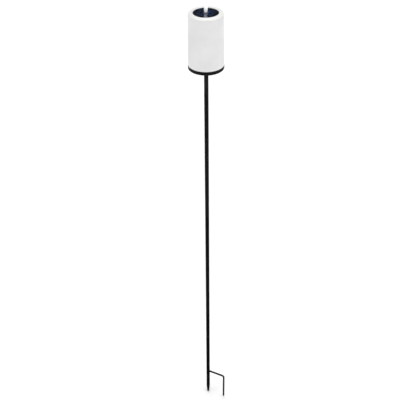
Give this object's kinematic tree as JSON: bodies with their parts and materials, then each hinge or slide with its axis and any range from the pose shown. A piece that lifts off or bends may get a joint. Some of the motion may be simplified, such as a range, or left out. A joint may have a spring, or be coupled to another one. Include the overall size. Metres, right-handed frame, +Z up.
{
  "type": "solar candle torch",
  "caption": "Garden torch with a white pillar-candle head, a solar panel and flame in its top well, on a slim black take-apart pole with a pointed foot and a step-in prong.",
  "frame": {"origin": "on the pole's axis at the ground line, where the spike's shoulder meets the lowest pole tube, just under the prong's crossbar", "axes": "+Z up along the pole, +X from the pole towards the prong's leg; the battery lies along X on the +Y side of the head"},
  "size_m": [0.0935, 0.0792, 1.241],
  "materials": {
    "pole_steel": "satin black powder coat",
    "spike_steel": "satin black powder coat",
    "zinc": "zinc plated",
    "black_plastic": "fine matt moulding",
    "black_rubber": "matt",
    "screw_steel": "stainless",
    "battery_wrap": "plain shrink wrap",
    "nickel": "nickel plated",
    "board_green": "solder mask",
    "chip_black": "moulded",
    "ferrite": "sleeved coil",
    "capacitor_sleeve": "shrink sleeve",
    "switch_steel": "tinned",
    "white_plastic": "moulded",
    "candle_white": "frosted, translucent",
    "panel_black": "gloss",
    "silicon_blue": "gloss",
    "panel_clear": "clear resin",
    "collar_grey": "smoked",
    "flame_white": "frosted",
    "led_amber": "diffused epoxy",
    "red_wire": "insulation",
    "black_wire": "insulation",
    "yellow_wire": "insulation"
  },
  "bodies": {
    "stake": {"ground_spike": "spike_steel", "prong": "spike_steel", "prong_weld": "spike_steel", "lower_pole": "pole_steel", "lower_joint_plug": "zinc"},
    "middle_section": {"middle_pole": "pole_steel", "upper_joint_plug": "zinc"},
    "upper_section": {"upper_pole": "pole_steel"},
    "stem": {"stem_adaptor": "black_plastic"},
    "candle_head": {"base_cap": "black_plastic", "base_gasket": "black_rubber", "base_screws": "screw_steel", "battery": "battery_wrap", "battery_nub": "nickel", "contact_spring": "nickel", "contact_plates": "nickel", "battery_leads": "red_wire", "main_board": "board_green", "control_chip": "chip_black", "inductor": "ferrite", "capacitor": "capacitor_sleeve", "board_screws": "screw_steel", "switch_body": "switch_steel", "candle_shell": "candle_white", "panel_tray": "black_plastic", "tray_screws": "screw_steel", "solar_panel": "panel_black", "solar_cells": "silicon_blue", "panel_cover": "panel_clear", "panel_seal": "black_rubber", "flame_collar": "collar_grey", "flame_diffuser": "flame_white", "flame_led": "led_amber", "led_leads": "nickel", "led_board": "board_green", "red_wire": "red_wire", "black_wire": "black_wire", "led_wires": "yellow_wire"},
    "battery_door": {"battery_door": "black_plastic", "door_screw": "screw_steel"},
    "switch_knob": {"switch_knob": "white_plastic"}
  },
  "joints": [
    {"name": "lower_section_joint", "type": "slide", "parent": "stake", "child": "middle_section", "axis": [0, 0, 1], "range_m": [0, 0.032]},
    {"name": "upper_section_joint", "type": "slide", "parent": "middle_section", "child": "upper_section", "axis": [0, 0, 1], "range_m": [0, 0.032]},
    {"name": "stem_joint", "type": "slide", "parent": "upper_section", "child": "stem", "axis": [0, 0, 1], "range_m": [0, 0.032]},
    {"name": "head_turn", "type": "hinge", "parent": "stem", "child": "candle_head", "pos_m": [0, 0, 1.0084], "axis": [0, 0, 1], "continuous": true},
    {"name": "battery_door_hinge", "type": "hinge", "parent": "candle_head", "child": "battery_door", "pos_m": [-0.0264, 0.0125, 1.011], "axis": [0, 1, 0], "range_deg": [0, 105]},
    {"name": "switch_slide", "type": "slide", "parent": "candle_head", "child": "switch_knob", "axis": [1, 0, 0], "range_m": [0, 0.002]}
  ]
}
